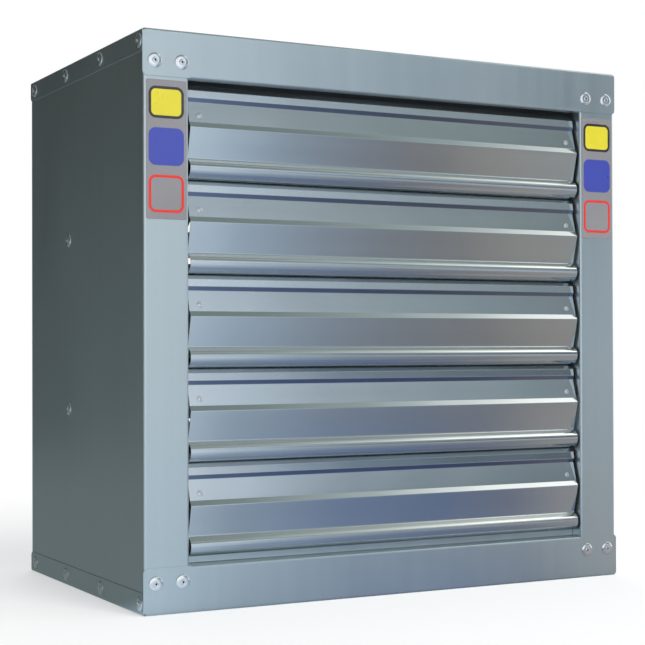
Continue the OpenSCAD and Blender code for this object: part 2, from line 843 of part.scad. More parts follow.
module frame_bolts() {
    color(bright) {
        for (x = strut_end_bolt_x, z = strut_zs)
            translate([x, strut_y + strut_t, z])
                on_y_axis() bolt_and_nut(bolt_d, strut_t + sheet_t);
        for (x = plate_bolt_x, z = strut_zs)
            translate([x, strut_y + strut_t, z])
                on_y_axis() bolt_and_nut(bolt_d, strut_t + plate_t);
        for (x = [-1, 1], z = [-1, 1])
            translate([x * housing_bolt_gap / 2, plate_y + plate_t, fan_z + z * housing_bolt_gap / 2])
                on_y_axis() bolt_and_nut(bolt_d, plate_t + housing_flange_t);
        for (x = base_bolt_x)
            translate([x, base_bolt_y, base_z + base_t])
                bolt_and_nut(bolt_d, base_t + strut_t);
    }
}

// Bearings: two deep-groove ball bearings in one housing

module bearing_ring(r_in, r_out, y) {
    translate([0, y, fan_z])
        on_y_axis()
            difference() {
                cylinder(r = r_out, h = bearing_w, center = true);
                cylinder(r = r_in, h = bearing_w + 1, center = true);
                rotate_extrude() translate([bearing_mid_r, 0]) circle(d = ball_d + 2 * hole_gap);
            }
}

module bearing_housing() {
    seat_r = bearing_d / 2 + fit_gap;
    bore = [[0, housing_y0 - 1], [seat_r, housing_y0 - 1], [seat_r, bearing_ys[0] + bearing_w / 2],
            [seat_r - 3, bearing_ys[0] + bearing_w / 2], [seat_r - 3, bearing_ys[1] - bearing_w / 2],
            [seat_r, bearing_ys[1] - bearing_w / 2], [seat_r, housing_y1 + 1], [0, housing_y1 + 1]];
    color(cast)
        difference() {
            union() {
                translate([0, housing_y0, fan_z])
                    on_y_axis() cylinder(r = housing_r, h = housing_y1 - housing_y0);
                translate([0, 0, fan_z])
                    drawn_on_front(plate_y - housing_flange_t, housing_flange_t)
                        rounded_square(housing_flange, housing_flange, 8);
            }
            translate([0, 0, fan_z])
                on_y_axis() rotate_extrude() polygon(bore);
            circlip_places() cylinder(r = seat_r + 1, h = circlip_t + 2 * fit_gap, center = true);
            holes_along_y([-housing_bolt_gap / 2, housing_bolt_gap / 2],
                          [fan_z - housing_bolt_gap / 2, fan_z + housing_bolt_gap / 2],
                          bolt_d + 2 * hole_gap, plate_y - housing_flange_t, housing_flange_t);
        }
}

module circlip_places() {
    for (y = [bearing_ys[0] - (bearing_w + circlip_t) / 2 - fit_gap,
              bearing_ys[1] + (bearing_w + circlip_t) / 2 + fit_gap])
        translate([0, y, fan_z]) on_y_axis() children();
}

// Outer rings, each kept in the housing by a circlip
module bearing_outer_rings() {
    color(bright) {
        for (y = bearing_ys)
            bearing_ring(bearing_d / 2 - race_t, bearing_d / 2, y);
        circlip_places()
            difference() {
                cylinder(r = bearing_d / 2 + 0.8, h = circlip_t, center = true);
                cylinder(r = bearing_d / 2 - 2, h = circlip_t + 1, center = true);
            }
    }
}

module bearing_inner_rings() {
    color(bright)
        for (y = bearing_ys)
            bearing_ring(bearing_in_r + fit_gap, bearing_in_r + race_t, y);
}

module at_balls() {
    for (k = [0 : ball_n - 1])
        rotate(360 * k / ball_n)
            translate([bearing_mid_r, 0, 0]) children();
}

// Balls with their cage rings
module bearing_balls() {
    cage_t = 1;
    cage_w = ball_d + 1.6;
    color(bright)
        for (y = bearing_ys)
            translate([0, y, fan_z])
                on_y_axis() {
                    at_balls() sphere(d = ball_d);
                    difference() {
                        cylinder(r = bearing_mid_r + cage_t / 2, h = cage_w, center = true);
                        cylinder(r = bearing_mid_r - cage_t / 2, h = cage_w + 1, center = true);
                        at_balls()
                            rotate([0, 90, 0])
                                cylinder(d = ball_d + 4 * hole_gap, h = 4 * cage_t, center = true);
                    }
                }
}

// Fan rotor

hub_boss_r = 22;
hub_boss_front = impeller_pos - 16;
pulley_front = belt_pos - pulley_boss_l / 2;
pulley_rear = bearing_ys[0] - bearing_w / 2;
nut_l = 12;
shaft_nut_r = 18;
thread_d = shaft_d - 5;
hub_disc_r = 44;
hub_disc_t = 8;
pad_t = 6;
pad_end = 92;
pad_w = 40;
shoulder_r = bearing_in_r + 2;

module fan_shaft() {
    profile = [[0, hub_boss_front - nut_l - 4], [thread_d / 2, hub_boss_front - nut_l - 4],
               [thread_d / 2, hub_boss_front], [bearing_in_r, hub_boss_front],
               [bearing_in_r, bearing_ys[0] + bearing_w / 2],
               [shoulder_r, bearing_ys[0] + bearing_w / 2],
               [shoulder_r, bearing_ys[1] - bearing_w / 2],
               [bearing_in_r, bearing_ys[1] - bearing_w / 2],
               [bearing_in_r, bearing_ys[1] + bearing_w / 2 + 3],
               [0, bearing_ys[1] + bearing_w / 2 + 3]];
    color(bright)
        translate([0, 0, fan_z])
            on_y_axis() rotate_extrude() polygon(profile);
}

// The place of impeller blade k: x out along the blade, y along the axis, before pitching
module at_blade(k) {
    translate([0, impeller_pos, fan_z])
        rotate([0, 360 * (k - 1) / impeller_n, 0])
            rotate([pitch_angle, 0, 0]) children();
}

blade_bolt_x = [60, 82];
blade_bolt_d = 6;

module blade_bolt_holes(depth) {
    for (x = blade_bolt_x)
        translate([x, 0, 0])
            on_y_axis() cylinder(d = blade_bolt_d + 2 * hole_gap, h = depth, center = true);
}

module impeller_hub() {
    color(cast)
        difference() {
            union() {
                translate([0, hub_boss_front, fan_z])
                    on_y_axis() cylinder(r = hub_boss_r, h = pulley_front - hub_boss_front);
                translate([0, impeller_pos, fan_z])
                    on_y_axis() cylinder(r = hub_disc_r, h = hub_disc_t, center = true);
                for (k = [1 : impeller_n])
                    at_blade(k)
                        translate([30, impeller_t / 2, -pad_w / 2])
                            cube([pad_end - 30, pad_t, pad_w]);
            }
            for (k = [1 : impeller_n])
                at_blade(k) blade_bolt_holes(60);
            translate([0, hub_boss_front - 1, fan_z])
                on_y_axis() cylinder(r = bearing_in_r + fit_gap, h = 200);
        }
}

blade_root_x = 47;

module impeller_blade(k) {
    chord = blade_tip_w / 2;
    flat = blade_root_w / 2 + 4;
    camber = 8;
    shoulder = 150;
    color(bright)
        at_blade(k)
            difference() {
                intersection() {
                    translate([impeller_r / 2 + blade_root_x / 2, 0, 0])
                        along_x(impeller_r - blade_root_x + 2)
                            bent_sheet([[-camber, -chord - 6], [0, -flat], [0, flat], [-camber, chord + 6]],
                                       [120, 120], impeller_t);
                    rotate([90, 0, 0])
                        linear_extrude(80, center = true)
                            polygon([[blade_root_x, -blade_root_w / 2], [blade_root_x, blade_root_w / 2],
                                     [pad_end + 6, blade_root_w / 2], [shoulder, chord],
                                     [impeller_r + 2, chord], [impeller_r + 2, -chord],
                                     [shoulder, -chord], [pad_end + 6, -blade_root_w / 2]]);
                    rotate([-pitch_angle, 0, 0])
                        on_y_axis() cylinder(r = impeller_r, h = 200, center = true, $fn = 180);
                }
                blade_bolt_holes(20);
            }
}

// The bolts of the blades and the nut on the shaft
module impeller_fasteners() {
    color(bright) {
        for (k = [1 : impeller_n])
            at_blade(k)
                for (x = blade_bolt_x)
                    translate([x, impeller_t / 2 + pad_t, 0])
                        on_y_axis() bolt_and_nut(blade_bolt_d, pad_t + impeller_t);
        translate([0, hub_boss_front - nut_l, fan_z])
            on_y_axis()
                difference() {
                    cylinder(r = shaft_nut_r, h = nut_l, $fn = 6);
                    translate([0, 0, -1]) cylinder(d = thread_d + 2 * hole_gap, h = nut_l + 2);
                }
    }
}

// Pulleys and belt, drawn with x as radius and y along the axis, the belt's middle at y = 0

groove_angle = 19;
groove_half = belt_w / 2 + belt_gap / cos(groove_angle);
groove_depth = belt_h + 3;
belt_sink = 0.2;
rim_floor = 5;
web_t = 6;
web_hole_r = 10;
web_hole_n = 6;
motor_hub_wall = 6;

module groove_2d(r) {
    foot = groove_half - groove_depth * tan(groove_angle);
    polygon([[r + 1, groove_half + tan(groove_angle)], [r - groove_depth, foot],
             [r - groove_depth, -foot], [r + 1, -groove_half - tan(groove_angle)]]);
}

module belt_2d(r) {
    top = belt_w / 2 - belt_sink * tan(groove_angle);
    foot = top - belt_h * tan(groove_angle);
    polygon([[r - belt_sink, top], [r - belt_sink, -top],
             [r - belt_sink - belt_h, -foot], [r - belt_sink - belt_h, foot]]);
}

module pulley_2d(r, boss_r, web) {
    rim_t = groove_depth + rim_floor;
    difference() {
        union() {
            translate([r - rim_t, -pulley_w / 2]) square([rim_t, pulley_w]);
            translate([0, -web / 2]) square([r - rim_t + eps, web]);
            translate([0, -pulley_boss_l / 2]) square([boss_r, pulley_boss_l]);
        }
        groove_2d(r);
    }
}

module fan_pulley() {
    nose_r = bearing_in_r + race_t - 0.5;
    hole_r = (fan_pulley_r - groove_depth - rim_floor + hub_boss_r) / 2;
    color(cast)
        translate([0, belt_pos, fan_z])
            on_y_axis()
                difference() {
                    union() {
                        rotate_extrude($fn = 96)
                            pulley_2d(fan_pulley_r, hub_boss_r, web_t);
                        cylinder(r = nose_r, h = pulley_rear - belt_pos);
                    }
                    cylinder(r = bearing_in_r + fit_gap, h = 4 * pulley_boss_l, center = true);
                    for (k = [1 : web_hole_n])
                        rotate(360 * k / web_hole_n)
                            translate([hole_r, 0, 0]) cylinder(r = web_hole_r, h = 2 * web_t, center = true);
                }
}

module motor_pulley() {
    color(cast)
        translate([0, belt_pos, motor_z])
            on_y_axis()
                difference() {
                    rotate_extrude($fn = 96)
                        pulley_2d(motor_pulley_r, motor_shaft_d / 2 + motor_hub_wall, pulley_w);
                    cylinder(d = motor_shaft_d + 2 * fit_gap, h = 2 * pulley_boss_l, center = true);
                }
}

module drive_belt() {
    tilt = asin((fan_pulley_r - motor_pulley_r) / pulley_centres);
    run = pulley_centres * cos(tilt);
    lap = 0.2;
    color(dark) {
        translate([0, belt_pos, fan_z])
            on_y_axis() {
                rotate(-tilt)
                    rotate_extrude(angle = 180 + 2 * tilt, $fn = 96) belt_2d(fan_pulley_r);
                for (m = [0, 1])
                    mirror([m, 0, 0])
                        rotate(-tilt)
                            translate([0, lap, 0])
                                rotate([90, 0, 0])
                                    linear_extrude(run + 2 * lap) belt_2d(fan_pulley_r);
            }
        translate([0, belt_pos, motor_z])
            on_y_axis()
                rotate(180 + tilt)
                    rotate_extrude(angle = 180 - 2 * tilt, $fn = 96) belt_2d(motor_pulley_r);
    }
}

// Motor

foot_t = 8;
foot_w = 28;
rib_t = 8;
rib_h = 34;
foot_ys = [housing_front + (motor_l - foot_gap_y) / 2, housing_rear - (motor_l - foot_gap_y) / 2];
foot_bolt_d = 6;
// The fins leave a bare stretch for the neck of the terminal box
fin_angles = [for (k = [1 : fin_n - 1]) if (abs(360 * k / fin_n - 180) < 156) 360 * k / fin_n];
motor_bearing_d = 35;
motor_bearing_w = 8;
motor_shaft_r = motor_shaft_d / 2;
cowl_t = 1.2;
tube_in_r = motor_r - 5;

module on_motor_axis(y) {
    translate([0, y, motor_z]) on_y_axis() children();
}

module motor_housing() {
    color(cast)
        difference() {
            union() {
                on_motor_axis(housing_front)
                    linear_extrude(motor_l) {
                        circle(motor_r, $fn = 96);
                        for (a = fin_angles)
                            rotate(a) translate([motor_r - 1, -1]) square([fin_h + 1, 2]);
                    }
                for (s = [-1, 1]) {
                    translate([s * foot_gap_x / 2 - foot_w / 2, housing_front, base_z + base_t])
                        cube([foot_w, motor_l, foot_t]);
                    translate([s * (foot_gap_x / 2 - 2 * rib_t) - rib_t / 2, housing_front, base_z + base_t])
                        cube([rib_t, motor_l, rib_h]);
                }
            }
            on_motor_axis(housing_front - 1) cylinder(r = tube_in_r, h = motor_l + 2, $fn = 96);
            for (s = [-1, 1], y = foot_ys)
                translate([s * foot_gap_x / 2, y, base_z + base_t - 1])
                    cylinder(d = foot_bolt_d + 2 * hole_gap, h = foot_t + 2);
        }
}

module end_bell(y, seat_y) {
    color(cast)
        difference() {
            on_motor_axis(y) cylinder(r = motor_r + 2, h = bell_t, $fn = 96);
            on_motor_axis(y - 1) cylinder(r = motor_shaft_r + 1, h = bell_t + 2);
            on_motor_axis(seat_y) cylinder(d = motor_bearing_d + 2 * fit_gap, h = motor_bearing_w + eps);
        }
}

module front_end_bell() {
    end_bell(motor_front, housing_front - motor_bearing_w);
}

module rear_end_bell() {
    end_bell(housing_rear, housing_rear - eps);
}

// Each motor bearing is one sealed ring with a running bore
module motor_bearings() {
    color(bright)
        for (y = [housing_front - motor_bearing_w, housing_rear])
            on_motor_axis(y)
                difference() {
                    cylinder(d = motor_bearing_d, h = motor_bearing_w);
                    translate([0, 0, -1]) cylinder(r = motor_shaft_r + run_gap, h = motor_bearing_w + 2);
                }
}

stator_l = 66;
stator_in_r = 31;
coil_l = 14;

module motor_stator() {
    stack_y = housing_front + (motor_l - stator_l) / 2;
    color([0.55, 0.38, 0.24])
        difference() {
            union() {
                on_motor_axis(stack_y) cylinder(r = tube_in_r - fit_gap, h = stator_l, $fn = 96);
                on_motor_axis(stack_y - coil_l) cylinder(r = tube_in_r - 5, h = stator_l + 2 * coil_l);
            }
            on_motor_axis(stack_y - coil_l - 1)
                linear_extrude(stator_l + 2 * coil_l + 2) {
                    circle(stator_in_r);
                    for (k = [0 : 23])
                        rotate(15 * k)
                            translate([stator_in_r - 1, -1]) square([2.5, 2]);
                }
        }
}

module motor_rotor() {
    color(steel)
        on_motor_axis(housing_front + (motor_l - stator_l) / 2)
            difference() {
                cylinder(r = stator_in_r - 0.4, h = stator_l);
                translate([0, 0, -1]) cylinder(r = motor_shaft_r + fit_gap, h = stator_l + 2);
            }
}

module motor_shaft() {
    shaft_front = belt_pos - pulley_boss_l / 2 - 2;
    color(bright)
        on_motor_axis(shaft_front)
            cylinder(r = motor_shaft_r, h = cowl_front + cowl_l * 0.6 - shaft_front);
}

module cooling_fan() {
    color(dark)
        on_motor_axis(cowl_front + 6)
            difference() {
                union() {
                    cylinder(r = motor_shaft_r + 5, h = 18);
                    cylinder(r = motor_r - 8, h = 2);
                    for (k = [0 : 7])
                        rotate(45 * k)
                            translate([motor_shaft_r + 3, -1, 0]) cube([motor_r - motor_shaft_r - 11, 2, 16]);
                }
                translate([0, 0, -1]) cylinder(r = motor_shaft_r + fit_gap, h = 40);
            }
}

module fan_cowl() {
    cowl_r = motor_r + 2 + cowl_t + part_gap;
    color(dark)
        on_motor_axis(cowl_front - bell_t / 2)
            difference() {
                cylinder(r = cowl_r, h = cowl_l + bell_t / 2, $fn = 96);
                translate([0, 0, -1])
                    cylinder(r = cowl_r - cowl_t, h = cowl_l + bell_t / 2 - cowl_t + 1, $fn = 96);
                for (ring = [0 : 2], k = [0 : 11])
                    rotate(30 * k + 15 * ring)
                        translate([14 + 12 * ring, 0, cowl_l])
                            cylinder(r = 2.6 + 0.5 * ring, h = 40, center = true);
            }
}

terminal_w = 34;
terminal_l = 66;
terminal_h = 56;
terminal_wall = 3;
lid_t = 4;
lid_rim = 1;
neck_h = 28;
terminal_x = motor_r + fin_h + part_gap;
terminal_y = housing_front + 22;
gland_r = 9;
gland_bore = 4.5;
gland_stem_r = gland_bore + 2.5;

module terminal_box() {
    color(cast)
        difference() {
            union() {
                translate([terminal_x, terminal_y, motor_z - terminal_h / 2])
                    cube([terminal_w - lid_t, terminal_l, terminal_h]);
                translate([motor_r - 4, terminal_y + 12, motor_z - neck_h / 2])
                    cube([terminal_x - motor_r + 5, terminal_l - 24, neck_h]);
            }
            translate([terminal_x + terminal_wall, terminal_y + terminal_wall,
                       motor_z - terminal_h / 2 + terminal_wall])
                cube([terminal_w, terminal_l - 2 * terminal_wall, terminal_h - 2 * terminal_wall]);
            translate([terminal_x + terminal_w / 2, terminal_y + terminal_l - terminal_wall - 1, motor_z])
                on_y_axis() cylinder(r = gland_stem_r + hole_gap, h = terminal_wall + 3);
            on_motor_axis(housing_front) cylinder(r = motor_r + hole_gap, h = motor_l, $fn = 96);
        }
}

module terminal_lid() {
    color(cast)
        translate([terminal_x + terminal_w - lid_t, terminal_y - lid_rim, motor_z - terminal_h / 2 - lid_rim])
            cube([lid_t, terminal_l + 2 * lid_rim, terminal_h + 2 * lid_rim]);
}

module cable_gland() {
    color(dark)
        translate([terminal_x + terminal_w / 2, terminal_y + terminal_l, motor_z])
            on_y_axis()
                difference() {
                    union() {
                        cylinder(r = gland_r, h = 10, $fn = 6);
                        translate([0, 0, 10 - eps]) cylinder(r1 = gland_r - 1, r2 = gland_bore + 2, h = 8);
                        translate([0, 0, -6]) cylinder(r = gland_stem_r, h = 7);
                    }
                    translate([0, 0, -7]) cylinder(r = gland_bore, h = 30);
                }
}

module motor_base() {
    y0 = housing_front - 4;
    slot_l = 16;
    slot_w = foot_bolt_d + 2 * hole_gap;
    color(steel)
        difference() {
            translate([0, y0, base_z])
                linear_extrude(base_t)
                    translate([0, (motor_l + 8) / 2]) rounded_square(foot_gap_x + 80, motor_l + 8, corner_r);
            for (s = [-1, 1], y = foot_ys)
                translate([s * foot_gap_x / 2, y, base_z - 1])
                    linear_extrude(base_t + 2)
                        bar_2d([-slot_l / 2, 0], [slot_l / 2, 0], slot_w, slot_w);
            for (x = base_bolt_x)
                translate([x, base_bolt_y, base_z - 1])
                    cylinder(d = bolt_d + 2 * hole_gap, h = base_t + 2);
        }
}

module motor_bolts() {
    color(bright)
        for (s = [-1, 1], y = foot_ys)
            translate([s * foot_gap_x / 2, y, base_z + base_t + foot_t])
                bolt_and_nut(foot_bolt_d, foot_t + base_t);
}

// Rear guard: welded wires behind the rear flanges, held by clips

guard_half_x = panel_x - rear_flange_w + 9;
guard_half_z = fan_z - rear_flange_w + 9;
guard_y = rear_y - 2 * sheet_t - 2 * wire_d;
wires_x = floor((2 * guard_half_x - 2 * wire_d) / wire_gap_x / 2);
wires_z = floor((2 * guard_half_z - 2 * wire_d) / wire_gap_z / 2);

module rear_guard() {
    color(bright)
        translate([0, 0, fan_z]) {
            translate([0, guard_y, 0]) {
                for (k = [-wires_x : wires_x])
                    translate([k * wire_gap_x - wire_d / 2, 0, -guard_half_z])
                        cube([wire_d, wire_d, 2 * guard_half_z]);
                for (s = [-1, 1])
                    translate([s * (guard_half_x - wire_d / 2) - wire_d / 2, 0, -guard_half_z])
                        cube([wire_d, wire_d, 2 * guard_half_z]);
            }
            translate([0, guard_y + wire_d, 0]) {
                for (k = [-wires_z : wires_z])
                    translate([-guard_half_x, 0, k * wire_gap_z - wire_d / 2])
                        cube([2 * guard_half_x, wire_d, wire_d]);
                for (s = [-1, 1])
                    translate([-guard_half_x, 0, s * (guard_half_z - wire_d / 2) - wire_d / 2])
                        cube([2 * guard_half_x, wire_d, wire_d]);
            }
        }
}

clip_x = 150;
clip_screw_d = 5;
clip_t = 1.5;
clip_w = 14;
clip_reach = 8;
// Clip places as [x, z, turn about the y axis, depth of the flange's outer face]
clip_spots = concat(
    [for (s = [-1, 1], z = [-clip_x, clip_x])
        [s * (guard_half_x + clip_reach), fan_z + z, s > 0 ? 180 : 0, rear_y - sheet_t]],
    [for (s = [-1, 1], x = [-clip_x, clip_x])
        [x, fan_z + s * (guard_half_z + clip_reach), s > 0 ? 90 : -90, rear_y]]);

module clip_holes() {
    for (p = clip_spots)
        holes_along_y([p[0]], [p[1]], clip_screw_d + 2 * hole_gap, rear_y - 2 * sheet_t, 2 * sheet_t);
}

module guard_clips() {
    color(bright)
        for (p = clip_spots) {
            inner = p[3] - sheet_t - clip_t / 2;
            hook = guard_y - clip_t / 2;
            translate([p[0], p[3], p[1]])
                on_y_axis() screw_and_nut(clip_screw_d, sheet_t + clip_t);
            translate([p[0], 0, p[1]])
                rotate([0, p[2], 0])
                    difference() {
                        linear_extrude(clip_w, center = true)
                            bent_sheet([[-6, inner], [clip_reach - 1.5, inner],
                                        [clip_reach - 1.5, hook], [clip_reach + 6, hook]],
                                       [1.5, 1.5], clip_t);
                        translate([0, p[3] - 10, 0])
                            on_y_axis() cylinder(d = clip_screw_d + 2 * hole_gap, h = 20);
                    }
        }
}

left_side_panel();
right_side_panel();
top_panel();
bottom_panel();
front_rivets();
flange_rivets();
rear_rivets();
wall_rivets();
stile_labels();
pivot_bushes();
tie_rod();
for (i = [1 : blade_count]) {
    shutter_blade(i);
    pivot_brackets(i);
}
venturi_panel();
venturi_bell();
venturi_sleeve();
upper_strut();
lower_strut();
bearing_plate();
frame_bolts();
bearing_housing();
bearing_outer_rings();
bearing_balls();
bearing_inner_rings();
fan_shaft();
impeller_hub();
impeller_fasteners();
for (k = [1 : impeller_n])
    impeller_blade(k);
fan_pulley();
drive_belt();
motor_pulley();
motor_shaft();
motor_rotor();
motor_stator();
motor_housing();
front_end_bell();
rear_end_bell();
motor_bearings();
cooling_fan();
fan_cowl();
terminal_box();
terminal_lid();
cable_gland();
motor_base();
motor_bolts();
rear_guard();
guard_clips();
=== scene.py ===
import json
import math

import bpy
from mathutils import Matrix, Vector


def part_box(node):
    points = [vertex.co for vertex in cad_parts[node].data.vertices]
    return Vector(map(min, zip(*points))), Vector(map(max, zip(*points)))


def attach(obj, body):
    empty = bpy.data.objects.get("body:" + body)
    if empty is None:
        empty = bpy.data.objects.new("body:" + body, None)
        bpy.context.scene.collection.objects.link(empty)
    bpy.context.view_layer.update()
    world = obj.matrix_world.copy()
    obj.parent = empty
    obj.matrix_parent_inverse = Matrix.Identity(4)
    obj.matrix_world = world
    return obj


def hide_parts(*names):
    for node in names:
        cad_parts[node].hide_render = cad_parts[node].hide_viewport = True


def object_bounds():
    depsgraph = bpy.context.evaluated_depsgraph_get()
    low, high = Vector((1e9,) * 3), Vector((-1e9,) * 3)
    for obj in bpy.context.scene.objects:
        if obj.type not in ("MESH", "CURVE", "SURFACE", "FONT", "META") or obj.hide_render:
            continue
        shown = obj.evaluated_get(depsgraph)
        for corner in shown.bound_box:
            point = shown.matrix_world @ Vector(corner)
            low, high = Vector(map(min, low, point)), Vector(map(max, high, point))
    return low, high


# Looks of the belt drive exhaust fan: a box of galvanised sheet with a gravity shutter, an impeller and a motor.
# Metres, in the frame's axes: the shutter faces -Y, the inlet's guard faces +Y, and the box stands on z = 0.
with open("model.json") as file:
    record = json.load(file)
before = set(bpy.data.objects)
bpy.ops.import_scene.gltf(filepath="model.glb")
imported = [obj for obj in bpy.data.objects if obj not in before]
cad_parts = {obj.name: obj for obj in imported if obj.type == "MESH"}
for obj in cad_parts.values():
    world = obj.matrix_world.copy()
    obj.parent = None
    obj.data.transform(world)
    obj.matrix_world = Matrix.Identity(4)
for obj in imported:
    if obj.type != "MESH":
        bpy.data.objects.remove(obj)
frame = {"nodes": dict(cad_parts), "record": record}
cad_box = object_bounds()

MM = 0.001
SOFT_EDGE = 0.3 * MM       # half the width of a bar's blurred edge
COAT_ROUGH = 0.15
MARK_RANGE = (0.3, 0.7)    # the part of a noise that turns into roughness


# Nodes

def node(tree, kind, inputs=None, **settings):
    """A shader node. A value in inputs is a number, a colour or another node's output."""
    made = tree.nodes.new("ShaderNode" + kind)
    for name, value in settings.items():
        setattr(made, name, value)
    for name, value in (inputs or {}).items():
        if isinstance(value, bpy.types.NodeSocket):
            tree.links.new(value, made.inputs[name])
        else:
            made.inputs[name].default_value = value
    return made


def empty_material(name):
    material = bpy.data.materials.new(name)
    material.use_nodes = True
    material.node_tree.nodes.clear()
    return material, material.node_tree


def finish_surface(tree, shader, output="OutputMaterial"):
    tree.links.new(shader.outputs[0], node(tree, output).inputs["Surface"])


def principled(tree, tint, rough, normal, metallic=0.0, coat=0.0):
    """The surface shader. metallic and coat are plain numbers on its own sockets."""
    finish_surface(tree, node(tree, "BsdfPrincipled", {
        "Base Color": tint, "Metallic": metallic, "Roughness": rough, "Normal": normal,
        "Coat Weight": coat, "Coat Roughness": COAT_ROUGH}))


def ramp(tree, value, stops):
    """A colour that changes with value through the stops, each a place from 0 to 1 and a colour."""
    made = node(tree, "ValToRGB", {"Fac": value})
    bar = made.color_ramp
    while len(bar.elements) < len(stops):
        bar.elements.new(0.5)
    for element, (stop, colour) in zip(bar.elements, stops):
        element.position = stop
        element.color = (*colour, 1)
    return made.outputs["Color"]


def math_node(tree, operation, *values):
    made = node(tree, "Math", operation=operation)
    for socket, value in zip(made.inputs, values):
        if isinstance(value, bpy.types.NodeSocket):
            tree.links.new(value, socket)
        else:
            socket.default_value = value
    return made.outputs[0]


def spread(tree, value, low, high, start=0.0, end=1.0):
    """Maps value from start..end to low..high, with its ends held."""
    made = node(tree, "MapRange", {"Value": value, "From Min": start, "From Max": end,
                                   "To Min": low, "To Max": high}, clamp=True)
    return made.outputs["Result"]


def place(tree, stretch=(1, 1, 1)):
    """The point on the object, with its axes stretched."""
    coordinates = node(tree, "TexCoord")
    mapping = node(tree, "Mapping", {"Vector": coordinates.outputs["Object"], "Scale": stretch})
    return mapping.outputs["Vector"]


def noise(tree, scale, detail, stretch=(1, 1, 1)):
    made = node(tree, "TexNoise", {"Vector": place(tree, stretch), "Scale": scale, "Detail": detail})
    return made.outputs["Fac"]


def varied(tree, colour, value, amount):
    """The colour, made lighter or darker by up to the amount where value is near 1 or 0."""
    dark = tuple(c * (1 - amount) for c in colour)
    light = tuple(min(c * (1 + amount), 1) for c in colour)
    return ramp(tree, value, [(0.25, dark), (0.75, light)])


def rounded_edges(tree, radius):
    """Normals as if the solid's sharp edges had this radius."""
    return node(tree, "Bevel", {"Radius": radius}, samples=4).outputs["Normal"]


def bump(tree, height, strength, distance, normal):
    return node(tree, "Bump", {"Height": height, "Strength": strength, "Distance": distance,
                               "Normal": normal}).outputs["Normal"]


def position(tree):
    """The point's X, Y and Z in the scene."""
    split = node(tree, "SeparateXYZ", {"Vector": node(tree, "NewGeometry").outputs["Position"]})
    return split.outputs["X"], split.outputs["Y"], split.outputs["Z"]


def mix_colour(tree, factor, first, second):
    made = node(tree, "Mix", {"Factor": factor}, data_type="RGBA")
    colours = [s for s in made.inputs if s.type == "RGBA"]
    for socket, value in zip(colours, (first, second)):
        if isinstance(value, bpy.types.NodeSocket):
            tree.links.new(value, socket)
        else:
            socket.default_value = (*value, 1)
    return [s for s in made.outputs if s.type == "RGBA"][0]


# Materials

def blend(tree, first, second, share):
    """The share of first and the rest of second."""
    return math_node(tree, "ADD", math_node(tree, "MULTIPLY", first, share),
                     math_node(tree, "MULTIPLY", second, 1 - share))


def galvanised(name, colour, rough, brush, wave, metallic, shades=None):
    """Zinc-coated sheet: fine spangle, faint rolling lines along one axis and slow waves in the sheet.

    The textures' scales are per metre, so a spangle is about 4 mm across and a cloud about 200 mm.
    """
    material, tree = empty_material(name)
    spangle = node(tree, "TexVoronoi", {"Vector": place(tree), "Scale": 260.0, "Randomness": 1.0})
    grains = node(tree, "RGBToBW", {"Color": spangle.outputs["Color"]}).outputs[0]
    lines = noise(tree, 60.0, 3.0, brush)
    tone = blend(tree, blend(tree, grains, lines, 0.12), noise(tree, 5.0, 3.0), 0.5)
    roughness = spread(tree, tone, rough - 0.05, rough + 0.05, *MARK_RANGE)
    waves = bump(tree, noise(tree, 9.0, 1.0), wave, 4 * MM, rounded_edges(tree, 0.3 * MM))
    tint = varied(tree, colour, tone, 0.06)
    if shades:
        tint = shades(tree, tint)
    principled(tree, tint, roughness, bump(tree, lines, 0.04, 0.03 * MM, waves), metallic)
    return material


# Drops below a blade's top, in mm, of its groove's painted shade and its roll's painted highlight
GROOVE_SHADE = (24.4, 29.0)
ROLL_HIGHLIGHT = (90.4, 96.6)


def blade_painted_light(tree, tint):
    """Painted shade darkens a blade's groove, and a painted highlight brightens the top of its roll."""
    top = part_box("shutter_blade_1")[1].z
    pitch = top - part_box("shutter_blade_2")[1].z
    split = node(tree, "SeparateXYZ", {"Vector": node(tree, "TexCoord").outputs["Object"]})
    below = math_node(tree, "MODULO", math_node(tree, "SUBTRACT", top, split.outputs["Z"]), pitch)
    # The groove's dark blue is painted shade, and the roll's near-white is a painted highlight
    for (start, end), colour in ((GROOVE_SHADE, (0.22, 0.26, 0.36)), (ROLL_HIGHLIGHT, (0.96, 0.97, 0.95))):
        tint = mix_colour(tree, bar_mask(tree, below, start * MM, end * MM), tint, colour)
    return tint


def bar_mask(tree, value, start, end):
    """1 between start and end, with soft edges."""
    return math_node(tree, "MULTIPLY", spread(tree, value, 0, 1, start - SOFT_EDGE, start + SOFT_EDGE),
                     spread(tree, value, 1, 0, end - SOFT_EDGE, end + SOFT_EDGE))


def bracket_painted_shade(tree, tint):
    """Painted shade darkens the end brackets' plates where they lie in the gap beside the blades."""
    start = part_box("shutter_blade_1")[1].x - 4 * MM
    across = math_node(tree, "ABSOLUTE", position(tree)[0])
    # Near-black painted shade on the plates beyond the blades' ends
    dark = spread(tree, across, 0, 1, start - MM, start + MM)
    return mix_colour(tree, dark, tint, (0.03, 0.03, 0.035))


def metal(name, colour, rough, scale=180.0, amount=0.08, stretch=(1, 1, 1), metallic=1.0, shades=None):
    """Bare or plated metal with fine marks."""
    material, tree = empty_material(name)
    marks = noise(tree, scale, 4.0, stretch)
    roughness = spread(tree, marks, rough - 0.06, rough + 0.08, *MARK_RANGE)
    normal = bump(tree, marks, 0.1, 0.04 * MM, rounded_edges(tree, 0.4 * MM))
    tint = varied(tree, colour, marks, amount)
    if shades:
        tint = shades(tree, tint)
    principled(tree, tint, roughness, normal, metallic)
    return material


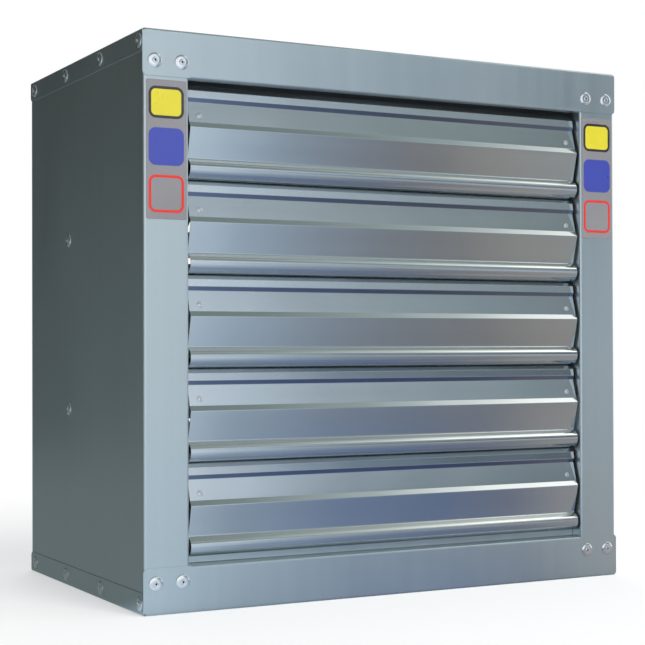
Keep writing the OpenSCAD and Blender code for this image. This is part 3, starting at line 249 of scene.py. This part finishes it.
def coated(name, colour, rough, grain_scale, grain_depth, amount=0.1, coat=0.0, prints=None):
    """Paint, plastic, vinyl or rubber: an even colour with slight stains and a grain in its surface."""
    material, tree = empty_material(name)
    stains = noise(tree, 14.0, 4.0)
    tint = varied(tree, colour, stains, amount)
    if prints:
        tint = prints(tree, tint)
    grain = noise(tree, grain_scale, 3.0)
    roughness = spread(tree, stains, rough - 0.05, rough + 0.07, *MARK_RANGE)
    normal = bump(tree, grain, 0.3, grain_depth, rounded_edges(tree, 0.6 * MM))
    principled(tree, tint, roughness, normal, 0.0, coat)
    return material


def patch_mask(tree, across, up, middle, size, corner):
    """1 inside a rounded rectangle around the middle and 0 outside it, with a soft edge."""
    beyond = []
    for value, centre, length in zip((across, up), middle, size):
        gap = math_node(tree, "ABSOLUTE", math_node(tree, "SUBTRACT", value, centre))
        beyond.append(math_node(tree, "MAXIMUM", math_node(tree, "SUBTRACT", gap, length / 2 - corner), 0.0))
    reach = math_node(tree, "SQRT", math_node(tree, "ADD", math_node(tree, "POWER", beyond[0], 2.0),
                                              math_node(tree, "POWER", beyond[1], 2.0)))
    return spread(tree, reach, 1, 0, corner - SOFT_EDGE / 2, corner + SOFT_EDGE / 2)


# The label's patches
YELLOW = (0.78, 0.68, 0.03)
BLUE = (0.05, 0.07, 0.42)
RED = (0.80, 0.03, 0.02)
BLACK = (0.03, 0.03, 0.03)
PATCH_W, RIM = 40, 3      # mm, a patch's width and its coloured rim


def label_prints(tree, tint):
    """Plain colour patches, one above another, where such labels carry their signs."""
    corners = [vertex.co for vertex in frame["nodes"]["stile_labels"].data.vertices]
    left_top, right_top = (max(c.z for c in corners if c.x * way > 0) for way in (-1, 1))
    middle_x = (min(c.x for c in corners if c.x > 0) + max(c.x for c in corners)) / 2
    x, _, z = position(tree)
    across = math_node(tree, "ABSOLUTE", x)
    drop = math_node(tree, "SUBTRACT", spread(tree, x, left_top, right_top, -MM, MM), z)
    # Each patch: the drop of its middle and its height in mm, its colour and its rim's
    for middle_drop, height, inside, rim in ((24, 34, YELLOW, BLACK), (71, 40, BLUE, BLUE), (121, 40, tint, RED)):
        for colour, inset, corner in ((rim, 0, 8), (inside, RIM, 8 - RIM)):
            size = ((PATCH_W - 2 * inset) * MM, (height - 2 * inset) * MM)
            mask = patch_mask(tree, across, drop, (middle_x, middle_drop * MM), size, corner * MM)
            tint = mix_colour(tree, mask, tint, colour)
    return tint


def slot_materials():
    """The look of each slot, and two looks more.

    Each metal's roughness stays on one side of 0.274, as denoising leaves specks where a sheet's roughness
    crosses it.
    """
    along_z = (1, 1, 0.02)
    along_x = (0.02, 1, 1)
    return {
        "galvanised_sheet": galvanised("galvanised_sheet", (0.60, 0.68, 0.71), 0.33, along_z, 0.12, 0.9),
        "galvanised_blade": galvanised("galvanised_blade", (0.66, 0.70, 0.72), 0.13, along_x, 0.16, 0.95,
                                       blade_painted_light),
        "zinc_plated_steel": metal("zinc_plated_steel", (0.68, 0.70, 0.72), 0.35),
        "rivet_aluminium": metal("rivet_aluminium", (0.88, 0.89, 0.91), 0.16, 90.0, 0.04, (1, 1, 1), 0.95),
        "label_vinyl": coated("label_vinyl", (0.27, 0.265, 0.285), 0.3, 500.0, 0.1 * MM, 0.08, 0.3,
                              label_prints),
        "nylon": coated("nylon", (0.015, 0.015, 0.016), 0.4, 900.0, 0.05 * MM),
        "painted_plate": coated("painted_plate", (0.09, 0.10, 0.11), 0.45, 700.0, 0.15 * MM),
        "bearing_steel": metal("bearing_steel", (0.75, 0.76, 0.78), 0.12, 500.0, 0.03),
        "machined_steel": metal("machined_steel", (0.60, 0.61, 0.63), 0.19, 500.0, 0.06, (1, 8, 1)),
        "cast_iron": coated("cast_iron", (0.07, 0.075, 0.08), 0.55, 420.0, 0.5 * MM, 0.2),
        "impeller_steel": galvanised("impeller_steel", (0.62, 0.67, 0.69), 0.34, (1, 1, 1), 0.1, 0.85),
        "belt_rubber": coated("belt_rubber", (0.018, 0.018, 0.018), 0.65, 900.0, 0.2 * MM, 0.2),
        "laminated_steel": metal("laminated_steel", (0.36, 0.28, 0.22), 0.45, 900.0, 0.15, (0.1, 1, 0.1)),
        "motor_paint": coated("motor_paint", (0.055, 0.11, 0.19), 0.38, 380.0, 0.35 * MM, 0.12, 0.2),
        "black_plastic": coated("black_plastic", (0.02, 0.02, 0.022), 0.4, 700.0, 0.12 * MM, 0.15),
        "bracket_steel_painted_shade": metal("bracket_steel_painted_shade", (0.68, 0.70, 0.72), 0.35, 180.0, 0.08, (1, 1, 1), 0.8,
                               bracket_painted_shade),
        # The mandrels are real parts of the rivets, but their near-black colour is painted shade for the rivets'
        # holes
        "mandrel": metal("mandrel", (0.06, 0.06, 0.06), 0.5, 900.0, 0.3),
    }


def paint_nodes(materials):
    for part in frame["record"]["subparts"]:
        cad = frame["nodes"][part["node"]]
        if not cad.material_slots:
            cad.data.materials.append(None)
        # The pivot brackets get steel with painted shade in the gap beside the blades
        look = "bracket_steel_painted_shade" if part["node"].startswith("pivot_brackets") else part["material_slot"]
        for entry in cad.material_slots:
            entry.link = "OBJECT"
            entry.material = materials[look]


# Pieces that the solids only stand for

TIP = 0.0001      # share of a radius at which a turned piece's end is as good as closed


def add_piece(name, shape, material, instead_of=(), smooth=True):
    """A piece on the casing. shape is its points and faces; instead_of names the CAD nodes it replaces."""
    points, faces = shape
    mesh = bpy.data.meshes.new(name)
    mesh.from_pydata(points, [], faces)
    mesh.validate()
    mesh.polygons.foreach_set("use_smooth", [smooth] * len(mesh.polygons))
    mesh.materials.append(material)
    made = bpy.data.objects.new(name, mesh)
    bpy.context.scene.collection.objects.link(made)
    if instead_of:
        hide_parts(*instead_of)
    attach(made, "casing")


def add_zinc_piece(name, shape, materials, instead_of=(), smooth=True):
    add_piece(name, shape, materials["zinc_plated_steel"], instead_of, smooth)


def turned(places, outline, sides):
    """Turned pieces. Each place is a point and an outward axis; the outline has radii and heights."""
    points, faces = [], []
    for seat, axis in places:
        seat, axis = Vector(seat), Vector(axis).normalized()
        first = axis.orthogonal().normalized()
        second = axis.cross(first)
        base = len(points)
        for radius, height in outline:
            for k in range(sides):
                a = math.tau * k / sides
                points.append(seat + axis * height + (first * math.cos(a) + second * math.sin(a)) * radius)
        for ring in range(len(outline) - 1):
            for k in range(sides):
                a, b = base + ring * sides + k, base + ring * sides + (k + 1) % sides
                faces.append((a, b, b + sides, a + sides))
        faces.append(tuple(base + (len(outline) - 1) * sides + k for k in range(sides)))
    return points, faces


def loose_boxes(name):
    """The low and high corners of each separate solid of a CAD node, whose faces share no vertices."""
    mesh = frame["nodes"][name].data
    first = {}
    group = [first.setdefault(tuple(round(c, 5) for c in v.co), v.index) for v in mesh.vertices]

    def root(i):
        while group[i] != i:
            group[i] = group[group[i]]
            i = group[i]
        return i

    for edge in mesh.edges:
        group[root(edge.vertices[0])] = root(edge.vertices[1])
    found = {}
    for vertex in mesh.vertices:
        box = found.setdefault(root(vertex.index), (vertex.co.copy(), vertex.co.copy()))
        for axis in range(3):
            box[0][axis] = min(box[0][axis], vertex.co[axis])
            box[1][axis] = max(box[1][axis], vertex.co[axis])
    return list(found.values())


RIVET_HEAD_R = 8.0 * MM
RIVET_HEAD_H = 2.2 * MM
SKIN = 1.5 * MM           # how near the case's own box a rivet's outer end lies


def rivet_places(name):
    """Where each rivet of a node meets its sheet, and the way its head faces."""
    low, high = cad_box
    places = []
    for a, b in loose_boxes(name):
        middle = (a + b) / 2
        for axis, way in ((1, -1), (1, 1), (0, -1), (0, 1)):
            outer = a[axis] if way < 0 else b[axis]
            limit = low[axis] if way < 0 else high[axis]
            if abs(outer - limit) < SKIN:
                seat = middle.copy()
                seat[axis] = outer - way * RIVET_HEAD_H
                out = Vector((0, 0, 0))
                out[axis] = way
                places.append((seat, out))
                break
    return places


def rivet_outline():
    """A wide flange, its dome, and the raised collar around the hole of the mandrel."""
    r, h = RIVET_HEAD_R, RIVET_HEAD_H
    dome = [(r * (0.985 - 0.60 * t ** 1.6), h * (0.20 + 0.58 * math.sin(t * math.pi / 2)))
            for t in (k / 9 for k in range(10))]
    collar = [(0.365 * r, 0.74 * h), (0.345 * r, 0.76 * h), (0.325 * r, 0.92 * h), (0.28 * r, 1.0 * h),
              (0.20 * r, 1.0 * h), (0.15 * r, 0.93 * h), (0.14 * r, 0.80 * h), (0.14 * r, 0.30 * h)]
    return [(0.97 * r, 0.0), (r, 0.04 * h), (r, 0.15 * h)] + dome + collar


def add_rivets(materials):
    for name in ("front_rivets", "flange_rivets", "rear_rivets", "wall_rivets"):
        places = rivet_places(name)
        heads = turned(places, rivet_outline(), 36)
        add_piece(name + "_heads", heads, materials["rivet_aluminium"], [name])
        r, h = 0.142 * RIVET_HEAD_R, RIVET_HEAD_H
        # The mandrel ends sit in the holes, with near-black painted shade
        ends = turned(places, [(r, 0.25 * h), (r, 0.42 * h), (0.7 * r, 0.5 * h), (TIP * r, 0.52 * h)], 16)
        add_piece(name + "_mandrels", ends, materials["mandrel"])


WIRE_D = 3.0 * MM
WIRE_GAP_X = 25 * MM
WIRE_GAP_Z = 50 * MM


def rod(start, end, radius):
    """A round rod between two points, with rounded ends."""
    start, end = Vector(start), Vector(end)
    length = (end - start).length
    nose = 0.4 * radius
    outline = [(TIP * radius, 0), (0.7 * radius, 0.12 * nose), (radius, nose),
               (radius, length - nose), (0.7 * radius, length - 0.12 * nose), (TIP * radius, length)]
    return turned([(start, end - start)], outline, 12)


def joined(pieces):
    """The points and faces of several pieces as one."""
    points, faces = [], []
    for piece_points, piece_faces in pieces:
        base = len(points)
        points += piece_points
        faces += [tuple(base + i for i in face) for face in piece_faces]
    return points, faces


def wire_rows(low, high, middle, gap):
    """The two outermost wires, and the others a gap apart from the middle outwards."""
    n = int((high - low - 2 * WIRE_D) / gap / 2)
    return [low + WIRE_D / 2, high - WIRE_D / 2] + [middle + k * gap for k in range(-n, n + 1)]


def add_guard(materials):
    """Upright wires with level wires behind them, which they touch."""
    low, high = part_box("rear_guard")
    r = WIRE_D / 2
    front_y, rear_y = low.y + r, high.y - 1.1 * r
    wires = [rod((x, front_y, low.z), (x, front_y, high.z), r)
             for x in wire_rows(low.x, high.x, 0.0, WIRE_GAP_X)]
    wires += [rod((low.x, rear_y, z), (high.x, rear_y, z), r)
              for z in wire_rows(low.z, high.z, (low.z + high.z) / 2, WIRE_GAP_Z)]
    add_zinc_piece("rear_guard_wires", joined(wires), materials, ["rear_guard"])


# Fasteners and a plate that the solids leave out

HEX, ROUND = 6, 24        # sides of a head


def screw_outline(radius, height):
    """A pan head with a round recess."""
    return [(0.98 * radius, 0), (radius, 0.35 * height), (0.86 * radius, 0.85 * height), (0.6 * radius, height),
            (0.34 * radius, height), (0.3 * radius, 0.55 * height), (TIP * radius, 0.55 * height)]


def hex_outline(radius, height):
    """A hexagonal head on its washer face."""
    return [(radius, 0), (radius, 0.85 * height), (0.9 * radius, height), (TIP * radius, height)]


def washer_outline(radius, height):
    return [(radius, 0), (radius, 0.8 * height), (0.97 * radius, height), (TIP * radius, height)]


def corner_ways():
    """The four ways between X and Z, seen along Y."""
    turns = [math.radians(45 + 90 * k) for k in range(4)]
    return [Vector((math.cos(turn), 0, math.sin(turn))) for turn in turns]


def add_lid_screws(materials):
    low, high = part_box("terminal_lid")
    inset = 5.5 * MM
    places = [((high.x, y, z), (1, 0, 0)) for y in (low.y + inset, high.y - inset)
              for z in (low.z + inset, high.z - inset)]
    add_zinc_piece("terminal_lid_screws", turned(places, screw_outline(3.4 * MM, 2.2 * MM), ROUND), materials)


def add_cowl_screws(materials):
    low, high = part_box("fan_cowl")
    middle = (low + high) / 2
    radius = (high.x - low.x) / 2
    sink, from_front = 0.2 * MM, 9 * MM
    ring = Vector((middle.x, low.y + from_front, middle.z))
    places = [(ring + out * (radius - sink), out) for out in corner_ways()]
    add_zinc_piece("fan_cowl_screws", turned(places, screw_outline(3.2 * MM, 2.0 * MM), ROUND), materials)


def add_end_bell_bolts(materials):
    """The four long bolts that clamp the motor, with their heads on the front end bell."""
    low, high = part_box("front_end_bell")
    middle = (low + high) / 2
    ring = 0.80 * (high.x - low.x) / 2
    corners = [v.co for v in frame["nodes"]["front_end_bell"].data.vertices]
    face = min(c.y for c in corners if math.hypot(c.x - middle.x, c.z - middle.z) > ring)
    forward, washer_h = Vector((0, -1, 0)), 1.2 * MM
    seats = [Vector((middle.x, face, middle.z)) + way * ring for way in corner_ways()]
    washers = turned([(seat, forward) for seat in seats], washer_outline(6 * MM, washer_h), 28)
    heads = turned([(seat + forward * washer_h, forward) for seat in seats], hex_outline(4.6 * MM, 3.6 * MM), HEX)
    add_zinc_piece("end_bell_bolts", joined([washers, heads]), materials, smooth=False)


def add_rating_plate(materials):
    """A blank plate on the terminal box's lid, held by two small rivets."""
    low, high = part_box("terminal_lid")
    middle = (low + high) / 2
    half_l, half_h, thick, corner = 22 * MM, 12 * MM, 0.5 * MM, 2 * MM
    edge = []
    for side_y, side_z, start in ((1, 1, 0), (-1, 1, 90), (-1, -1, 180), (1, -1, 270)):
        for k in range(7):
            a = math.radians(start + 15 * k)
            edge.append((side_y * (half_l - corner) + corner * math.cos(a),
                         side_z * (half_h - corner) + corner * math.sin(a)))
    count = len(edge)
    points = [(high.x + out, middle.y + y, middle.z + z) for out in (0.0, thick) for y, z in edge]
    faces = [tuple(range(count, 2 * count))]
    faces += [(k, (k + 1) % count, count + (k + 1) % count, count + k) for k in range(count)]
    rivet_y = half_l - 4 * MM
    places = [((high.x + thick, middle.y + y, middle.z), (1, 0, 0)) for y in (-rivet_y, rivet_y)]
    rivets = turned(places, screw_outline(1.6 * MM, 0.9 * MM), 16)
    add_piece("motor_rating_plate", joined([(points, faces), rivets]),
              materials["rivet_aluminium"], smooth=False)


# Camera, floor, cards and light

# The photograph's frame is square, and its middle isn't where the lens pointed.
FRAME = 645                                # pixels, as are the next two lines
FOCAL = 1572.2
OFF_X, OFF_Y = 40, 13
SENSOR = 36.0                              # mm
EYE = (-0.8999, -1.7596, 0.2822)
YAW, PITCH, TILT = 28.671, 0.432, -0.161   # degrees


def add_camera():
    data = bpy.data.cameras.new("camera")
    data.sensor_width = SENSOR
    data.lens = FOCAL / FRAME * SENSOR
    data.shift_x = -OFF_X / FRAME
    data.shift_y = OFF_Y / FRAME
    camera = bpy.data.objects.new("camera", data)
    bpy.context.scene.collection.objects.link(camera)
    yaw, pitch, tilt = (math.radians(a) for a in (YAW, PITCH, TILT))
    ahead = Vector((math.sin(yaw) * math.cos(pitch), math.cos(yaw) * math.cos(pitch), math.sin(pitch)))
    level = Vector((math.cos(yaw), -math.sin(yaw), 0))
    upright = level.cross(ahead)
    right = level * math.cos(tilt) + upright * math.sin(tilt)
    up = upright * math.cos(tilt) - level * math.sin(tilt)
    turn = Matrix((right, up, -ahead)).transposed()
    camera.matrix_world = Matrix.Translation(EYE) @ turn.to_4x4()
    bpy.context.scene.camera = camera


def add_rectangle(name, corner, side_a, side_b, material):
    """A stage rectangle that spans two sides from its corner."""
    a, b, c = Vector(corner), Vector(side_a), Vector(side_b)
    mesh = bpy.data.meshes.new(name)
    mesh.from_pydata([a, a + b, a + b + c, a + c], [], [(0, 1, 2, 3)])
    mesh.materials.append(material)
    made = bpy.data.objects.new(name, mesh)
    bpy.context.scene.collection.objects.link(made)
    return made


def glow(tree, colour, strength=1.0):
    return node(tree, "Emission", {"Color": colour, "Strength": strength})


def mix_shaders(tree, share, first, second):
    """The share of second and the rest of first."""
    return node(tree, "MixShader", {0: share, 1: first.outputs[0], 2: second.outputs[0]})


WHITE = (1, 1, 1, 1)


def card(name, corner, side_a, side_b, paint, strength=1.0):
    """A studio card that only metal sees. paint gives its colour from the place on it."""
    material, tree = empty_material(name)
    finish_surface(tree, glow(tree, paint(tree), strength))
    made = add_rectangle(name, corner, side_a, side_b, material)
    made.visible_camera = made.visible_diffuse = made.visible_shadow = made.visible_transmission = False


CARD_REACH = 4.0      # metres to the right of the part over which a card's tones change


def front_paint(tree):
    """Bright at the left, where the window is, and dim to the right, in four heights."""
    x, _, z = position(tree)
    across = spread(tree, x, 0, 1, 0.0, CARD_REACH)
    paint = ramp(tree, across,
                 [(0.15, (1.0, 1.0, 1.0)), (0.225, (0.94, 1.0, 1.0)), (0.265, (0.56, 0.65, 0.76)),
                  (0.33, (0.37, 0.45, 0.54)), (0.46, (0.34, 0.41, 0.47)), (0.58, (0.50, 0.55, 0.62)),
                  (0.9, (0.38, 0.42, 0.46))])
    # Each band: the heights between which it takes over from the one below, and its tones
    bands = [(0.65, 1.0, [(0.15, (0.90, 0.96, 1.0)), (0.23, (0.78, 0.83, 0.93)), (0.32, (0.40, 0.48, 0.58)),
                          (0.43, (0.09, 0.145, 0.20)), (0.63, (0.04, 0.065, 0.09)), (0.8, (0.06, 0.08, 0.10))]),
             (1.35, 1.6, [(0.23, (0.85, 0.92, 1.0)), (0.33, (0.63, 0.73, 0.83)), (0.41, (0.42, 0.50, 0.56)),
                          (0.50, (0.35, 0.42, 0.46)), (0.63, (0.26, 0.32, 0.36)), (0.8, (0.18, 0.22, 0.24))]),
             (2.1, 2.7, [(0.35, (0.44, 0.52, 0.57)), (0.48, (0.30, 0.36, 0.38)), (0.6, (0.25, 0.31, 0.32)),
                         (0.75, (0.19, 0.24, 0.25))])]
    for start, end, tones in bands:
        paint = mix_colour(tree, spread(tree, z, 0, 1, start, end), paint, ramp(tree, across, tones))
    return paint


def ceiling_paint(tree):
    """Dim over the left and in front, with a bright field over the right."""
    x, y, _ = position(tree)
    bright = ramp(tree, spread(tree, x, 0, 1, 0.0, CARD_REACH),
                  [(0.32, (0.10, 0.125, 0.12)), (0.44, (0.18, 0.215, 0.215)), (0.51, (0.30, 0.33, 0.32)),
                   (0.60, (0.66, 0.66, 0.62)), (0.75, (0.8, 0.8, 0.76)), (0.85, (0.4, 0.4, 0.38))])
    return mix_colour(tree, spread(tree, y, 0, 1, -2.9, -2.2), (0.10, 0.12, 0.125), bright)


def side_paint(tree):
    """A dim wall, darker higher up and towards its right end."""
    x, _, z = position(tree)
    tone = ramp(tree, spread(tree, z, 0, 1, 0.0, 2.0),
                [(0.0, (0.13, 0.165, 0.165)), (0.2, (0.13, 0.16, 0.165)), (0.5, (0.06, 0.07, 0.06))])
    return mix_colour(tree, spread(tree, x, 0.0, 0.9, -1.4, -0.8), tone, (0.0, 0.0, 0.0))


def add_cards():
    """A wall in front, a ceiling, a wall behind at the left and a wall at the left."""
    card("front_card", (-2.5, -3.2, 0.0), (7.5, 0, 0), (0, 0, 3.2), front_paint)
    card("ceiling_card", (-4.5, -3.2, 3.2), (9.5, 0, 0), (0, 5.6, 0), ceiling_paint, 2.0)
    card("side_card", (-4.5, 2.4, 0.0), (4.15, 0, 0), (0, 0, 3.2), side_paint)
    card("left_card", (-4.5, -3.2, 0.0), (0, 5.6, 0), (0, 0, 3.2), side_paint)


def add_floor():
    """A pale floor. It keeps the shadow, fades to the white background, and is a toned floor to metal."""
    material, tree = empty_material("floor")
    x, y, _ = position(tree)
    away = math_node(tree, "SQRT", math_node(tree, "ADD", math_node(tree, "MULTIPLY", x, x),
                                             math_node(tree, "MULTIPLY", y, y)))
    diffuse = node(tree, "BsdfDiffuse", {"Color": (0.72, 0.72, 0.72, 1)})
    lit = node(tree, "AddShader", {0: diffuse.outputs[0], 1: glow(tree, WHITE, 0.42).outputs[0]})
    seen = mix_shaders(tree, spread(tree, away, 0, 1, 0.5, 1.2), lit, glow(tree, WHITE))
    across = math_node(tree, "ADD", x, math_node(tree, "MULTIPLY", math_node(tree, "ADD", y, 0.2), 0.5))
    place_across = spread(tree, across, 0, 1, -0.5, 1.1)
    far = ramp(tree, place_across,
               [(0.05, (0.63, 0.75, 0.85)), (0.12, (0.60, 0.72, 0.83)), (0.19, (0.37, 0.46, 0.57)),
                (0.28, (0.26, 0.31, 0.38)), (0.37, (0.21, 0.23, 0.27)), (0.47, (0.225, 0.22, 0.23)),
                (0.56, (0.32, 0.30, 0.28)), (0.9, (0.38, 0.42, 0.46))])
    near = ramp(tree, place_across,
                [(0.12, (0.60, 0.72, 0.83)), (0.19, (0.30, 0.38, 0.49)), (0.28, (0.18, 0.24, 0.38)),
                 (0.37, (0.13, 0.18, 0.31)), (0.44, (0.17, 0.19, 0.26)), (0.51, (0.33, 0.32, 0.32)),
                 (0.9, (0.38, 0.42, 0.46))])
    front = mix_colour(tree, spread(tree, y, 0, 1, -0.62, -0.4), far, near)
    side = spread(tree, y, 0, 1, -0.25, -0.1)
    mirrored = glow(tree, mix_colour(tree, side, front, (0.17, 0.20, 0.20)))
    path = node(tree, "LightPath")
    plain = mix_shaders(tree, path.outputs["Is Camera Ray"], diffuse, seen)
    finish_surface(tree, mix_shaders(tree, path.outputs["Is Glossy Ray"], plain, mirrored))
    half = 12.0
    add_rectangle("floor", (-half, -half, 0), (2 * half, 0, 0), (0, 2 * half, 0), material)


def add_world():
    """White where it is seen, mirrored or looked through, and a soft pale light otherwise."""
    world = bpy.data.worlds.new("world")
    bpy.context.scene.world = world
    world.use_nodes = True
    tree = world.node_tree
    tree.nodes.clear()
    path = node(tree, "LightPath")
    shown = math_node(tree, "MAXIMUM", path.outputs["Is Camera Ray"],
                      math_node(tree, "MAXIMUM", path.outputs["Is Glossy Ray"],
                                path.outputs["Is Transmission Ray"]))
    ambient = node(tree, "Background", {"Color": (0.93, 0.97, 1.0, 1), "Strength": 0.42})
    white = node(tree, "Background", {"Color": WHITE, "Strength": 1.0})
    finish_surface(tree, mix_shaders(tree, shown, ambient, white), "OutputWorld")


def add_lamp(name, place_at, aim, size, watts, colour):
    """A rectangular lamp that metal doesn't mirror."""
    data = bpy.data.lights.new(name, "AREA")
    data.shape = "RECTANGLE"
    data.size, data.size_y = size
    data.energy = watts
    data.color = colour
    lamp = bpy.data.objects.new(name, data)
    bpy.context.scene.collection.objects.link(lamp)
    lamp.location = place_at
    lamp.rotation_euler = (Vector(aim) - Vector(place_at)).to_track_quat("-Z", "Y").to_euler()
    lamp.visible_glossy = False


def add_lamps():
    middle = (0, 0, 0.3)
    add_lamp("key", (0.5, -3.0, 2.2), middle, (1.6, 1.6), 66, (1.0, 0.99, 0.97))
    add_lamp("fill", (2.6, -1.8, 1.6), middle, (1.8, 1.8), 18, (0.97, 0.99, 1.0))
    add_lamp("back", (0.6, 2.8, 2.2), middle, (2.2, 1.6), 30, (1.0, 1.0, 1.0))


add_camera()
materials = slot_materials()
paint_nodes(materials)
add_rivets(materials)
add_guard(materials)
add_lid_screws(materials)
add_cowl_screws(materials)
add_end_bell_bolts(materials)
add_rating_plate(materials)
add_floor()
add_cards()
add_world()
add_lamps()
bpy.context.scene.view_settings.view_transform = "Standard"
